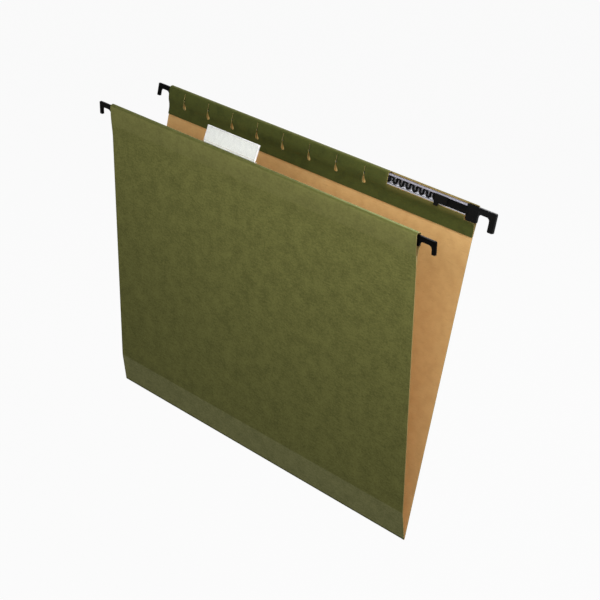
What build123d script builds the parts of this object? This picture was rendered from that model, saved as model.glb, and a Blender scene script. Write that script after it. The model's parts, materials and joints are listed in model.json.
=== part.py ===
from build123d import *
from math import asin, atan2, cos, degrees, hypot, pi, sin, sqrt
import os

# Hanging file folder, millimetres. X runs along the hanging rails, the front panel is towards -Y, Z is up.
# The origin is midway between the two hanging rails, at the height where the four hooks sit.

# Paperboard sheet
panel_width = 298.5
panel_height = 235.0
sheet_thickness = 0.4
score_height = 23.2
fold_setback = 3.0
crease_clearance = 0.05

# Hem that wraps each rail: a parallel pocket, a taper, then the glued tail of the flap
flap_height = 22.0
pocket_depth = 10.5
taper_depth = 16.0
hem_clearance = 0.3
rail_inset = 0.9
glue_thickness = 0.1
glue_margin = 0.3

# Keyhole slots for index tabs, and the window that lays the right end of the back rail open
slot_pitch = 26.3
slot_reach = 5
back_slot_last = 2
slit_width = 0.8
slit_top = 2.3
slit_eye_depth = 7.4
slit_eye_radius = 0.7
bulb_depth = 13.6
bulb_radius = 1.2
bulb_taper = 2.8
window_start = 73.5
window_margin = 0.4
cut_overrun = 4.0

# Rails: channels that are open towards the inside of the folder, with a lip along the top of the mouth
rail_spacing = 56.8
rail_height = 7.2
rail_depth = 3.0
rail_wall = 0.5
rail_lip = 1.1
rail_setback = 8.0

# Hooks
beam_height = 4.3
leg_width = 4.3
leg_drop = 7.6
rail_gap = 10.3
hook_thickness = 2.0
shoulder_overhang = 0.9
shoulder_drop = 6.6
seat_clearance = 0.2
seat_radius = 3.2
leg_radius = 2.4
tip_radius = 1.2
corner_radius = 0.8
stem_length = 16.0
slider_length = 10.0
slider_clearance = 0.3

# Serpentine springs and the anchors that hold their inner ends
spring_waves = 8
spring_pitch = 5.9
spring_height = 5.0
spring_wire = 1.4
spring_end_run = 1.6
spring_points_per_run = 40
anchor_length = 6.0
stud_radius = 1.3
stud_clearance = 0.1

# Index tab: a foot plate behind the front hem, a leaning clear sleeve and its paper label
tab_lean = 24.0
tab_width = 51.4
tab_plate = 0.5
tab_gap = 0.3
tab_bend_drop = 0.3
tab_bend_clearance = 0.1
tab_neck = 0.9
sleeve_height = 10.6
sleeve_wall = 0.35
sleeve_slot = 0.5
foot_margin = 0.6
foot_height = 11.0
foot_pin_width = 0.5
foot_pin_height = 1.2
foot_head_width = 1.8
foot_head_thickness = 0.5
foot_head_gap = 0.2
label_thickness = 0.25
label_margin = 0.6
label_clearance = 0.2

# Places along a panel, measured from the hook seats at its own Z of zero
panel_half = panel_width / 2
pocket_half = rail_depth / 2 + hem_clearance
crown_radius = pocket_half + sheet_thickness
wall_reach = pocket_half + sheet_thickness / 2
crown_z = beam_height + hem_clearance - sqrt(pocket_half**2 - (hook_thickness / 2) ** 2)
fold_top = crown_z + crown_radius
rail_top = crown_z + sqrt(pocket_half**2 - (rail_depth / 2) ** 2) - hem_clearance
rail_z = rail_top - rail_height / 2
pocket_z = fold_top - pocket_depth
taper_z = fold_top - taper_depth
flap_z = fold_top - flap_height
glue_reach = sheet_thickness + glue_thickness

# Creases: the bottom fold turns on the inner faces, the score on the middle of the sheet
fold_y = -rail_spacing / 2 - rail_inset + fold_setback
fold_z = fold_top - panel_height
score_z = fold_z + score_height
inner_inset = rail_inset - sheet_thickness / 2
back_run = hypot(rail_spacing / 2 - fold_y, fold_z)
back_lean = atan2(rail_spacing / 2 - fold_y, -fold_z) + asin(inner_inset / back_run)
back_bottom = -sqrt(back_run**2 - inner_inset**2)
strip_run = hypot(fold_setback, score_height)
strip_lean = atan2(fold_setback, score_height) - asin(sheet_thickness / 2 / strip_run)

front_place = Location((0, -rail_spacing / 2, 0))
back_place = Location((0, rail_spacing / 2, 0), (-degrees(back_lean), 0, 0))

# Places along a rail, for the right-hand end
rail_end = panel_half - rail_setback
shoulder_in = rail_end + seat_clearance
shoulder_out = panel_half + shoulder_overhang
leg_in = shoulder_out + rail_gap
leg_out = leg_in + leg_width
slider_in = shoulder_in - stem_length - slider_length
slider_height = rail_height - 2 * rail_wall - 2 * slider_clearance
slider_thickness = rail_depth - 2 * rail_wall - 2 * slider_clearance
mouth_height = rail_height - rail_wall - rail_lip
mouth_z = rail_z + (rail_wall - rail_lip) / 2
stem_height = mouth_height - 2 * slider_clearance
turn_radius = spring_pitch / 4
spring_runs = 2 * spring_waves
spring_length = 2 * spring_end_run + spring_runs * spring_pitch / 2
anchor_out = slider_in - spring_length
stud_x = anchor_out - anchor_length / 2

# Places on the index tab
tab_x = -slot_pitch
tab_y = crown_radius + tab_gap + tab_plate / 2
tab_z = fold_top - tab_bend_drop
foot_bottom = tab_z - foot_height
pin_z = rail_z - rail_height / 2 - hem_clearance - foot_pin_height / 2
sleeve_depth = sleeve_slot + 2 * sleeve_wall
label_z = tab_neck + sleeve_height / 2


def sheet_face(path):
    """Section of a bent sheet whose middle runs along a path of (y, z) points, mitred at the bends."""
    points = [Vector(*point) for point in path]
    runs = [(end - start).normalized() for start, end in zip(points, points[1:])]
    sides = []
    for index in range(len(points)):
        before = runs[max(index - 1, 0)]
        after = runs[min(index, len(runs) - 1)]
        along = (before + after).normalized()
        across = Vector(-along.Y, along.X)
        sides.append(across * (sheet_thickness / 2 / along.dot(after)))
    outline = [point + side for point, side in zip(points, sides)]
    outline += [point - side for point, side in zip(reversed(points), reversed(sides))]
    return make_face(Polyline(*outline, close=True))


def crown_quarter(side):
    """Quarter of the rounded top fold, on the side of the rail that the sign gives."""
    ring = Circle(crown_radius) - Circle(pocket_half)
    quadrant = Pos(side * crown_radius / 2, crown_radius / 2) * Rectangle(crown_radius, crown_radius)
    return Pos(0, crown_z) * (ring & quadrant)


def across_width(section, width):
    """Run a (y, z) section along X, centred."""
    return extrude(Plane.YZ * section, amount=width / 2, both=True)


def plate(outline, thickness):
    """Give an (x, z) outline a thickness along Y, centred."""
    return extrude(Plane.XZ * outline, amount=thickness / 2, both=True)


def block(x_low, x_high, y_low, y_high, z_low, z_high):
    """Box between two corners."""
    middle = ((x_low + x_high) / 2, (y_low + y_high) / 2, (z_low + z_high) / 2)
    return Pos(*middle) * Box(x_high - x_low, abs(y_high - y_low), z_high - z_low)


def panel_section(inward, bottom):
    """Panel from its lower crease to the top of the fold over the rail."""
    path = [
        (-inward * rail_inset, bottom),
        (-inward * rail_inset, taper_z),
        (-inward * wall_reach, pocket_z),
        (-inward * wall_reach, crown_z),
    ]
    return sheet_face(path) + crown_quarter(-inward)


def flap_section(inward):
    """Flap from the top of the fold down the inside of the rail to its glued tail."""
    glued_y = inward * (glue_reach - rail_inset)
    path = [
        (inward * wall_reach, crown_z),
        (inward * wall_reach, pocket_z),
        (glued_y, taper_z),
        (glued_y, flap_z),
    ]
    return sheet_face(path) + crown_quarter(inward)


def keyhole(x):
    """Keyhole slot: a slit with an eye, widening into a bulb at its foot."""
    bulb_z = fold_top - bulb_depth
    slit_z = fold_top - slit_top
    slit = Pos(0, (slit_z + bulb_z) / 2) * Rectangle(slit_width, slit_z - bulb_z)
    eye = Pos(0, fold_top - slit_eye_depth) * Circle(slit_eye_radius)
    bulb = Pos(0, bulb_z) * Circle(bulb_radius)
    taper = make_face(
        Polyline((-bulb_radius, bulb_z), (bulb_radius, bulb_z), (0, bulb_z + bulb_taper), close=True)
    )
    return plate(Pos(x, 0) * (slit + eye + bulb + taper), 2 * crown_radius + 2 * cut_overrun)


def hem_flap(inward, last_slot):
    """Hem flap with its row of keyhole slots."""
    flap = across_width(flap_section(inward), panel_width)
    for index in range(-slot_reach, last_slot + 1):
        flap -= keyhole(index * slot_pitch)
    return flap


def rail_window():
    """Opening that lays the right end of a rail bare, with a notch below for the hook's shoulder."""
    far = panel_half + cut_overrun
    reach = crown_radius + cut_overrun
    top = fold_top + cut_overrun
    opening = block(window_start, far, -reach, reach, rail_top - rail_height - window_margin, top)
    return opening + block(shoulder_in - window_margin, far, -reach, reach, -shoulder_drop - window_margin, top)


def hem_glue(inward):
    """Adhesive line between the flap's tail and the panel."""
    inner_face = -inward * inner_inset
    line_half = panel_half - glue_margin
    return block(
        -line_half,
        line_half,
        inner_face,
        inner_face + inward * glue_thickness,
        flap_z + glue_margin,
        taper_z - glue_margin,
    )


def rail(inward):
    """Channel with a lip at the top, pierced near each end for the spring anchors."""
    section = Pos(0, rail_z) * Rectangle(rail_depth, rail_height)
    section -= Pos(0, rail_z) * Rectangle(rail_depth - 2 * rail_wall, rail_height - 2 * rail_wall)
    section -= Pos(inward * rail_depth / 2, mouth_z) * Rectangle(rail_depth, mouth_height)
    channel = across_width(section, 2 * rail_end)
    hole = plate(Circle(stud_radius + stud_clearance), rail_depth)
    for hand in (-1, 1):
        channel -= Pos(hand * stud_x, -inward * rail_depth / 2, rail_z) * hole
    return channel


def round_corners(face, corners):
    """Round the named corners of a face, each given as (place, radius)."""
    for place, radius in corners:
        corner = face.vertices().sort_by_distance(place)[0]
        face = fillet(corner, radius)
    return face


def right_hook(inward):
    """Slider, stem, shoulder, beam and leg of the hook at the right end of a rail. The stem fills the rail's mouth."""
    outline = Polyline(
        (shoulder_in, beam_height),
        (leg_out, beam_height),
        (leg_out, -leg_drop),
        (leg_in, -leg_drop),
        (leg_in, 0),
        (shoulder_out, 0),
        (shoulder_out, -shoulder_drop),
        (shoulder_in, -shoulder_drop),
        close=True,
    )
    corners = [
        ((leg_out, beam_height), corner_radius),
        ((leg_out, -leg_drop), tip_radius),
        ((leg_in, -leg_drop), tip_radius),
        ((leg_in, 0), leg_radius),
        ((shoulder_out, 0), seat_radius),
        ((shoulder_out, -shoulder_drop), corner_radius),
        ((shoulder_in, -shoulder_drop), corner_radius),
    ]
    head = plate(round_corners(make_face(outline), corners), hook_thickness)
    slider = Pos(slider_in + slider_length / 2, rail_z) * Rectangle(slider_length, slider_height)
    stem = block(
        slider_in,
        shoulder_in,
        -inward * slider_thickness / 2,
        inward * rail_depth / 2,
        mouth_z - stem_height / 2,
        mouth_z + stem_height / 2,
    )
    return head + plate(slider, slider_thickness) + stem


def spring_path():
    """Middle line of the right-hand spring in (x, z), from its anchor to the slider."""
    reach = (spring_height - spring_wire) / 2
    low = rail_z - reach
    high = rail_z + reach
    slant = turn_radius * sqrt(0.5)
    x = anchor_out + spring_end_run + turn_radius
    start_bend = ThreePointArc(
        (x - turn_radius, low),
        (x - turn_radius + slant, low + turn_radius - slant),
        (x, low + turn_radius),
    )
    edges = [Line((anchor_out, low), (x - turn_radius, low)), start_bend]
    for run in range(spring_runs):
        rising = run % 2 == 0
        near = low + turn_radius if rising else high - turn_radius
        far = high - turn_radius if rising else low + turn_radius
        edges.append(Line((x, near), (x, far)))
        outer = high if rising else low
        if run < spring_runs - 1:
            edges.append(ThreePointArc((x, far), (x + turn_radius, outer), (x + 2 * turn_radius, far)))
            x += 2 * turn_radius
    drop = slant if rising else -slant
    end_bend = ThreePointArc((x, far), (x + turn_radius - slant, far + drop), (x + turn_radius, outer))
    edges.append(end_bend)
    edges.append(Line((x + turn_radius, outer), (slider_in, outer)))
    return Wire(edges)


def right_spring():
    """Serpentine spring at the right end of a rail, one unbroken round wire."""
    path = Plane.XZ * spring_path()
    start = Plane(origin=path.position_at(0), z_dir=path.tangent_at(0))
    return sweep(start * Circle(spring_wire / 2), path=path)


def spring_self_gap():
    """Least clear gap between two stretches of the spring, measured on points of its middle line."""
    path = spring_path()
    count = spring_points_per_run * spring_runs
    points = [path.position_at(index / count) for index in range(count + 1)]
    apart = round(pi * spring_wire / path.length * count)
    gaps = [
        (points[far] - points[near]).length
        for near in range(len(points))
        for far in range(near + apart, len(points))
    ]
    return min(gaps) - spring_wire


def right_anchor(inward):
    """Block that holds the spring's inner end, with a stud through the rail's back."""
    body = block(
        anchor_out - anchor_length,
        anchor_out,
        -slider_thickness / 2,
        slider_thickness / 2,
        rail_z - slider_height / 2,
        rail_z + slider_height / 2,
    )
    stud = plate(Circle(stud_radius), rail_depth / 2)
    return body + Pos(stud_x, -inward * rail_depth / 4, rail_z) * stud


def tab_foot():
    """Plate behind the front hem, with two headed pins through the keyhole slots."""
    plate_front = tab_y - tab_plate / 2
    head_back = pocket_half - foot_head_gap
    foot_half = slot_pitch + foot_margin
    top = tab_z - tab_plate / 2 - tab_bend_clearance
    foot = block(-foot_half, foot_half, plate_front, plate_front + tab_plate, foot_bottom, top)
    pin_low = pin_z - foot_pin_height / 2
    pin_high = pin_z + foot_pin_height / 2
    for hand in (-1, 1):
        pin_x = hand * slot_pitch
        pin_edge = foot_pin_width / 2
        head_edge = foot_head_width / 2
        foot += block(pin_x - pin_edge, pin_x + pin_edge, head_back, plate_front, pin_low, pin_high)
        head_front = head_back - foot_head_thickness
        foot += block(pin_x - head_edge, pin_x + head_edge, head_front, head_back, pin_low, pin_high)
    return Pos(tab_x, 0, 0) * foot


def tab_place():
    """Place of the leaning sleeve, with its own Z along the lean from the bend."""
    return Location((tab_x, tab_y, tab_z), (-tab_lean, 0, 0))


def tab_sleeve():
    """Clear sleeve, open at both ends, on a round bead at the bend."""
    tube = Rectangle(sleeve_depth, sleeve_height)
    tube -= Rectangle(sleeve_slot, sleeve_height - 2 * sleeve_wall)
    neck = Pos(0, tab_neck / 2) * Rectangle(tab_plate, tab_neck)
    section = Pos(0, label_z) * tube + neck + Circle(tab_plate / 2)
    return tab_place() * across_width(section, tab_width)


def label_insert():
    """Paper label inside the sleeve."""
    height = sleeve_height - 2 * sleeve_wall - 2 * label_clearance
    label = Box(tab_width - 2 * label_margin, label_thickness, height)
    return tab_place() * (Pos(0, 0, label_z) * label)


def front_panel():
    """Front panel, with a rounded lower edge that turns on the score."""
    section = panel_section(1, score_z) + Pos(-rail_inset, score_z) * Circle(sheet_thickness / 2)
    return across_width(section, panel_width)


def back_panel():
    """Back panel, with a round bead along the bottom fold."""
    section = panel_section(-1, back_bottom) + Pos(inner_inset, back_bottom) * Circle(sheet_thickness)
    return across_width(section, panel_width)


def front_bottom_strip():
    """Strip between the score and the bottom fold, cut back round both creases."""
    fold_middle = (
        fold_y - sheet_thickness / 2 * cos(strip_lean),
        fold_z - sheet_thickness / 2 * sin(strip_lean),
    )
    score_middle = (-rail_spacing / 2 - rail_inset, score_z)
    section = sheet_face([fold_middle, score_middle])
    section -= Pos(fold_y, fold_z) * Circle(sheet_thickness + crease_clearance)
    section -= Pos(*score_middle) * Circle(sheet_thickness / 2 + crease_clearance)
    return across_width(section, panel_width)


def build_nodes():
    """Every piece by name, in its place."""
    nodes = {
        "front_panel": front_place * front_panel(),
        "front_bottom_strip": front_bottom_strip(),
        "back_panel": back_place * back_panel(),
        "front_hem_flap": front_place * hem_flap(1, slot_reach),
        "back_hem_flap": back_place * (hem_flap(-1, back_slot_last) - rail_window()),
        "index_tab_foot": front_place * tab_foot(),
        "index_tab_sleeve": front_place * tab_sleeve(),
        "label_insert": front_place * label_insert(),
    }
    spring = right_spring()
    for name, place, inward in (("front", front_place, 1), ("back", back_place, -1)):
        nodes[name + "_hem_glue"] = place * hem_glue(inward)
        nodes[name + "_rail"] = place * rail(inward)
        ends = {"hook": right_hook(inward), "spring": spring, "spring_anchor": right_anchor(inward)}
        for end, piece in ends.items():
            nodes[name + "_right_" + end] = place * piece
            nodes[name + "_left_" + end] = place * mirror(piece, about=Plane.YZ)
    return nodes


os.makedirs("parts", exist_ok=True)
for node, piece in build_nodes().items():
    export_step(piece, "parts/" + node + ".step")
print("least gap of a spring to itself: %.2f mm" % spring_self_gap())
print("back panel leans %.3f degrees" % degrees(back_lean))
print("bottom strip leans %.3f degrees" % degrees(strip_lean))
print("bottom fold at y %.4f z %.4f, score at z %.4f" % (fold_y, fold_z, score_z))
print("tab bend at y %.4f z %.4f" % (tab_y - rail_spacing / 2, tab_z))
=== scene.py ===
# %% [markdown]
# A hanging file folder, dressed in Blender.
# The folder is one sheet of coloured board, folded to a V and hemmed over two steel rails with spring hooks.
# The measured frame comes first, and every piece below takes its place from it.

# %% Load the measured frame
import json
from math import asin, atan2, cos, degrees, hypot, pi, radians, sin, tan

import bmesh
import bpy
from mathutils import Matrix, Vector


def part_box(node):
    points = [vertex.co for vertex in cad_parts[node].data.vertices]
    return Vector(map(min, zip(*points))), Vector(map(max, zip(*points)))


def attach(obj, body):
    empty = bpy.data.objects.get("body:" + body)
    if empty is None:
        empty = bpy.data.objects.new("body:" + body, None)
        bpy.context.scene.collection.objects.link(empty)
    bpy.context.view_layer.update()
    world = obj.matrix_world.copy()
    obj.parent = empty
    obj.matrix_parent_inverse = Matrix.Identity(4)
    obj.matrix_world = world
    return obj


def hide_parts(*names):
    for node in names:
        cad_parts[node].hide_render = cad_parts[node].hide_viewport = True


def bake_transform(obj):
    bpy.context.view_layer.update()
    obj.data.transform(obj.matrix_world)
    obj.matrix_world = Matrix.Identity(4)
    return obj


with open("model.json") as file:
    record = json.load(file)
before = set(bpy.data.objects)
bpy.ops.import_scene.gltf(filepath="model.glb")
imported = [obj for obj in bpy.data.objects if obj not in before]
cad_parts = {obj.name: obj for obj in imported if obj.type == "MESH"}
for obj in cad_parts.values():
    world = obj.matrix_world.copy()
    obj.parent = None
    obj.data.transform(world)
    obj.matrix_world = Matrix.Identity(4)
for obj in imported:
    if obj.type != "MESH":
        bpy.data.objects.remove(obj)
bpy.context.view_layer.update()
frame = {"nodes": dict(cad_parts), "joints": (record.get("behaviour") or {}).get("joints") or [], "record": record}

# %% [markdown]
# Each hem is easiest to think of upright: so far inwards from the middle of the rail, and so far up
# from the hook seats. The front hem is plumb and the back one leans, so one small function turns such a
# pair of sizes into a place in the room. The lean, the rails and the creases are read from the frame,
# so nothing can drift.

# %% Places that the frame gives
MM = 0.001
seats = {mount["name"]: mount for mount in frame["record"]["mounts"]}
joints = {joint["name"]: joint for joint in frame["joints"]}
front_seat = seats["front_right_hook_seat"]
back_seat = seats["back_right_hook_seat"]
back_lean = asin(-back_seat["axis"][1])

hem_middle = {"front": Vector(front_seat["pos_m"]), "back": Vector(back_seat["pos_m"])}
hem_inward = {"front": Vector((0, 1, 0)), "back": Vector((0, -cos(back_lean), sin(back_lean)))}
hem_up = {"front": Vector((0, 0, 1)), "back": Vector((0, sin(back_lean), cos(back_lean)))}


def hem_point(side, inward, up, x=0.0):
    """Place in the room of a point inwards from the middle of a hem's rail and up from the hook seats."""
    point = hem_middle[side] + inward * hem_inward[side] + up * hem_up[side]
    return Vector((x, point.y, point.z))


fold_axis = Vector(joints["bottom_fold"]["pos_m"])
score_axis = Vector(joints["front_score"]["pos_m"])
panel_low, panel_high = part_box("front_panel")
rail_low, rail_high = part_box("front_rail")
flap_low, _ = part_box("front_hem_flap")
half_width = panel_high.x
print("board %.1f mm wide, back panel leans %.2f degrees" % (2 * half_width / MM, degrees(back_lean)))

# %% [markdown]
# By hand, a piece starts as a primitive and is finished with modifiers. These helpers keep that short:
# take one piece, add a start with nothing else selected, put its place into its mesh, apply a modifier,
# and copy.

# %% Hands on a piece
SMOOTH_BELOW = radians(35)


def take(piece):
    """Select one piece alone and make it the active one."""
    bpy.ops.object.select_all(action="DESELECT")
    piece.select_set(True)
    bpy.context.view_layer.objects.active = piece


def add_start(name, operator, **settings):
    """Add a primitive, a lamp or a camera with nothing else selected, and name it."""
    bpy.ops.object.select_all(action="DESELECT")
    operator(**settings)
    piece = bpy.context.object
    piece.name = name
    piece.data.name = name
    return piece


def settle(piece):
    """Put a piece's place, turn and scale into its mesh."""
    take(piece)
    bpy.ops.object.transform_apply(location=True, rotation=True, scale=True)
    return piece


def add_block(name, low, high):
    """Add a block between two corners, with its place in its mesh."""
    low, high = Vector(low), Vector(high)
    block = add_start(name, bpy.ops.mesh.primitive_cube_add, size=1, location=(low + high) / 2)
    block.scale = high - low
    return settle(block)


def apply_modifier(piece, kind, **settings):
    """Add a modifier, set it and apply it."""
    take(piece)
    modifier = piece.modifiers.new(kind.title(), kind)
    for setting, value in settings.items():
        setattr(modifier, setting, value)
    bpy.ops.object.modifier_apply(modifier=modifier.name)
    return piece


def smooth(piece, below=SMOOTH_BELOW):
    """Smooth shading everywhere but on corners sharper than the angle."""
    take(piece)
    bpy.ops.object.shade_smooth_by_angle(angle=below)
    return piece


def own_copy(piece, name):
    """Copy a piece with a mesh of its own."""
    take(piece)
    bpy.ops.object.duplicate(linked=False)
    copy = bpy.context.object
    copy.name = name
    copy.data.name = name
    return copy


def triangles(piece):
    """Triangles of a piece's mesh."""
    piece.data.calc_loop_triangles()
    return len(piece.data.loop_triangles)


# %% [markdown]
# Shaping happens in edit mode. There the hands pick vertices, edges or faces by where they are, push
# them out, slice the whole mesh along a plane, weld what lies on one another, and make the faces look
# outwards.

# %% Hands inside a mesh
NEAR = 0.02 * MM
WELD_REACH = NEAR / 10
FACING = 0.9
ALONG_X = (1, 0, 0)
ALONG_Y = (0, 1, 0)
ALONG_Z = (0, 0, 1)
DOWN = (0, 0, -1)


def open_mesh(piece):
    """Go into edit mode on one piece."""
    take(piece)
    bpy.ops.object.mode_set(mode="EDIT")


def close_mesh():
    """Go back to object mode."""
    bpy.ops.object.mode_set(mode="OBJECT")


def pick(piece, kind, test):
    """In edit mode, select just the vertices, edges or faces that pass a test, and say how many."""
    bpy.ops.mesh.select_mode(type=kind)
    bpy.ops.mesh.select_all(action="DESELECT")
    mesh = bmesh.from_edit_mesh(piece.data)
    parts = {"VERT": mesh.verts, "EDGE": mesh.edges, "FACE": mesh.faces}[kind]
    chosen = [part for part in parts if test(part)]
    for part in chosen:
        part.select_set(True)
    mesh.select_flush_mode()
    bmesh.update_edit_mesh(piece.data)
    return len(chosen)


def face_at(normal, test):
    """Test for a face that looks one way and whose middle passes a test."""
    direction = Vector(normal)
    return lambda face: face.normal.dot(direction) > FACING and test(face.calc_center_median())


def push(x, y, z):
    """Extrude what is selected by a step."""
    bpy.ops.mesh.extrude_region_move(TRANSFORM_OT_translate={"value": (x, y, z)})


def slice_mesh(place, normal, clear_outer=False):
    """Cut the whole mesh along a plane, and drop what lies past it if asked."""
    bpy.ops.mesh.select_all(action="SELECT")
    bpy.ops.mesh.bisect(plane_co=place, plane_no=normal, clear_outer=clear_outer)


def weld():
    """Merge the points of the whole mesh that lie on one another."""
    bpy.ops.mesh.select_all(action="SELECT")
    bpy.ops.mesh.remove_doubles(threshold=WELD_REACH)


def face_outwards():
    """Make all faces look one way, which on a closed shape is outwards."""
    bpy.ops.mesh.select_all(action="SELECT")
    bpy.ops.mesh.normals_make_consistent(inside=False)


# %% [markdown]
# The board is folded the way a folder factory folds it: a strip of sheet as wide as the folder is
# extended row by row along its edge, and the edge is turned round a bend where the sheet wraps the
# rail. Only the coloured outer face is drawn. Solidify gives the thickness afterwards, with the kraft
# face as its second material.

# %% Folding tools
SHEET_COLUMNS = 40


def on_line(point):
    """Test for what lies on the line along X through a point."""
    return lambda vertex: hypot(vertex.co.y - point.y, vertex.co.z - point.z) < NEAR


def along_line(point):
    """Test for an edge that runs along X through a point."""
    touches = on_line(point)
    return lambda edge: all(touches(vertex) for vertex in edge.verts)


def start_sheet(name, first, second, half=half_width, columns=SHEET_COLUMNS):
    """Lay the first row of a sheet from one line along X to another, and leave the second line selected."""
    run = second - first
    tilt = atan2(run.z, run.y)
    sheet = add_start(
        name,
        bpy.ops.mesh.primitive_grid_add,
        x_subdivisions=columns,
        y_subdivisions=1,
        size=1,
        location=(first + second) / 2,
        rotation=(tilt, 0, 0),
    )
    sheet.scale = (2 * half, run.length, 1)
    settle(sheet)
    open_mesh(sheet)
    pick(sheet, "EDGE", along_line(second))
    return sheet


def extend_sheet(start, end, rows=1):
    """Extrude the selected edge of a sheet from one place to another in equal rows."""
    step = (end - start) / rows
    for _ in range(rows):
        push(*step)


def turn_round(centre, axis, angle, steps):
    """Spin what is selected round an axis through a place. The spin tool counts angles the other way."""
    bpy.ops.mesh.spin(steps=steps, angle=-angle, center=centre, axis=axis)


def soften(sheet, point, size, steps):
    """Round a fold of the sheet that runs along X through a point."""
    pick(sheet, "EDGE", along_line(point))
    bpy.ops.mesh.bevel(offset=size, segments=steps, affect="EDGES")


def show_outside(sheet, place, outward):
    """Make every face of an open sheet look the way that the face nearest to a place should."""
    weld()
    face_outwards()
    mesh = bmesh.from_edit_mesh(sheet.data)
    nearest = min(mesh.faces, key=lambda face: (face.calc_center_median() - place).length)
    if nearest.normal.dot(outward) < 0:
        bpy.ops.mesh.flip_normals()
    close_mesh()


# %% [markdown]
# The strip below the score belongs half to each piece of board.
# Its outer face touches a small circle round each crease line, which fixes how it leans.

# %% Lines of the sheet
POCKET_DEPTH = 9.6 * MM
PANEL_TAPER_DEPTH = 24.0 * MM
FLAP_TAPER_DEPTH = {"front": 14.5 * MM, "back": 15.5 * MM}
HEM_LINE_DEPTH = 16.0 * MM
PANEL_REACH = 1.1 * MM
TAIL_REACH = 0.2 * MM
FOLD_RADIUS = 0.4 * MM
SCORE_RADIUS = 0.2 * MM
crown_radius = front_seat["pos_m"][1] - panel_low.y
crown_up = panel_high.z - crown_radius
pocket_up = panel_high.z - POCKET_DEPTH
panel_taper_up = panel_high.z - PANEL_TAPER_DEPTH
flap_taper_up = {side: panel_high.z - depth for side, depth in FLAP_TAPER_DEPTH.items()}
hem_line_up = panel_high.z - HEM_LINE_DEPTH
flap_end_up = flap_low.z

strip_run = score_axis - fold_axis
strip_lean = atan2(-strip_run.y, strip_run.z)
strip_lean -= asin((FOLD_RADIUS - SCORE_RADIUS) / hypot(strip_run.y, strip_run.z))
strip_outward = Vector((0, -cos(strip_lean), -sin(strip_lean)))
strip_foot = fold_axis + FOLD_RADIUS * strip_outward
strip_head = score_axis + SCORE_RADIUS * strip_outward
strip_middle = (strip_foot + strip_head) / 2
score_corner = hem_point("front", -PANEL_REACH, score_axis.z - SCORE_RADIUS * sin(strip_lean) / 2)
print("strip leans %.2f degrees" % degrees(strip_lean))

# %% [markdown]
# One function folds a hem on top of either panel: out over the rail's pocket, round the crown, down the
# inside, and in again to the tail that is glued to the panel. The bends are then rounded a little, as
# board bends.

# %% Hem
PANEL_ROWS = 28
HEM_ROWS = 2
HEM_BEND = 2.5 * MM
HEM_BEND_STEPS = 6
CROWN_STEPS = 12


def fold_hem(sheet, side, start):
    """Extend a sheet from a line on the panel up to the crown and down the inside of the rail."""
    turn = -pi if side == "front" else pi
    taper_out = hem_point(side, -PANEL_REACH, panel_taper_up)
    pocket_out = hem_point(side, -crown_radius, pocket_up)
    crown_out = hem_point(side, -crown_radius, crown_up)
    crown_in = hem_point(side, crown_radius, crown_up)
    pocket_in = hem_point(side, crown_radius, pocket_up)
    taper_in = hem_point(side, -TAIL_REACH, flap_taper_up[side])
    tail_end = hem_point(side, -TAIL_REACH, flap_end_up)
    extend_sheet(start, taper_out, PANEL_ROWS)
    extend_sheet(taper_out, pocket_out, HEM_ROWS)
    extend_sheet(pocket_out, crown_out, HEM_ROWS)
    turn_round(hem_point(side, 0, crown_up), ALONG_X, turn, CROWN_STEPS)
    extend_sheet(crown_in, pocket_in, HEM_ROWS)
    extend_sheet(pocket_in, taper_in, HEM_ROWS)
    extend_sheet(taper_in, tail_end)
    for bend in (taper_out, pocket_out, pocket_in, taper_in):
        soften(sheet, bend, HEM_BEND, HEM_BEND_STEPS)


print("flap %.1f mm from crown to tail" % ((panel_high.z - flap_end_up) / MM))

# %% [markdown]
# The front board starts in the middle of the strip, turns the corner of the score and runs up to its
# hem. A pressed score is a soft bend and not a sharp one, so its corner is rounded last.

# %% Fold the front board
SCORE_ROWS = 2
SCORE_BEND = 0.8 * MM
SCORE_BEND_STEPS = 3
strip_upper = (strip_middle + strip_head) / 2
front_board = start_sheet("front_board", strip_middle, strip_upper)
extend_sheet(strip_upper, score_corner, SCORE_ROWS)
fold_hem(front_board, "front", score_corner)
soften(front_board, score_corner, SCORE_BEND, SCORE_BEND_STEPS)
show_outside(front_board, strip_middle, strip_outward)
print("front board:", len(front_board.data.polygons), "faces before its thickness")

# %% [markdown]
# The back board starts on the same line and goes the other way: down to the bottom fold, round it with
# a spin, and up the back panel. So the two boards meet edge to edge in the middle of the strip.

# %% Fold the back board
FOLD_ROWS = 3
FOLD_STEPS = 12
fold_turn = pi - strip_lean - back_lean
back_outward = -hem_inward["back"]
strip_lower = (strip_middle + strip_foot) / 2
back_board = start_sheet("back_board", strip_middle, strip_lower)
extend_sheet(strip_lower, strip_foot, FOLD_ROWS)
turn_round(fold_axis, ALONG_X, fold_turn, FOLD_STEPS)
fold_hem(back_board, "back", fold_axis + FOLD_RADIUS * back_outward)
show_outside(back_board, strip_middle, strip_outward)
boards = {"front": front_board, "back": back_board}
print("back board:", len(back_board.data.polygons), "faces before its thickness")

# %% [markdown]
# Solidify works from the coloured face inwards. The second material slot takes the kraft side and the
# third the cut edges, so the sheet is one mesh with three finishes.

# %% Thickness
SHEET = 0.36 * MM
BOARD_FINISHES = ("outside", "inside", "edge")
INSIDE = BOARD_FINISHES.index("inside")
EDGE = BOARD_FINISHES.index("edge")


def thicken(board):
    """Give a folded sheet its thickness, with kraft inside and bare board on the cut edges."""
    for finish in BOARD_FINISHES:
        board.data.materials.append(bpy.data.materials.new(board.name + "_" + finish))
    apply_modifier(
        board,
        "SOLIDIFY",
        thickness=SHEET,
        offset=-1,
        use_even_offset=True,
        use_quality_normals=True,
        material_offset=INSIDE,
        material_offset_rim=EDGE,
    )


for board in boards.values():
    thicken(board)
    print(board.name, "has", len(board.data.polygons), "faces with its thickness")

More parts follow.
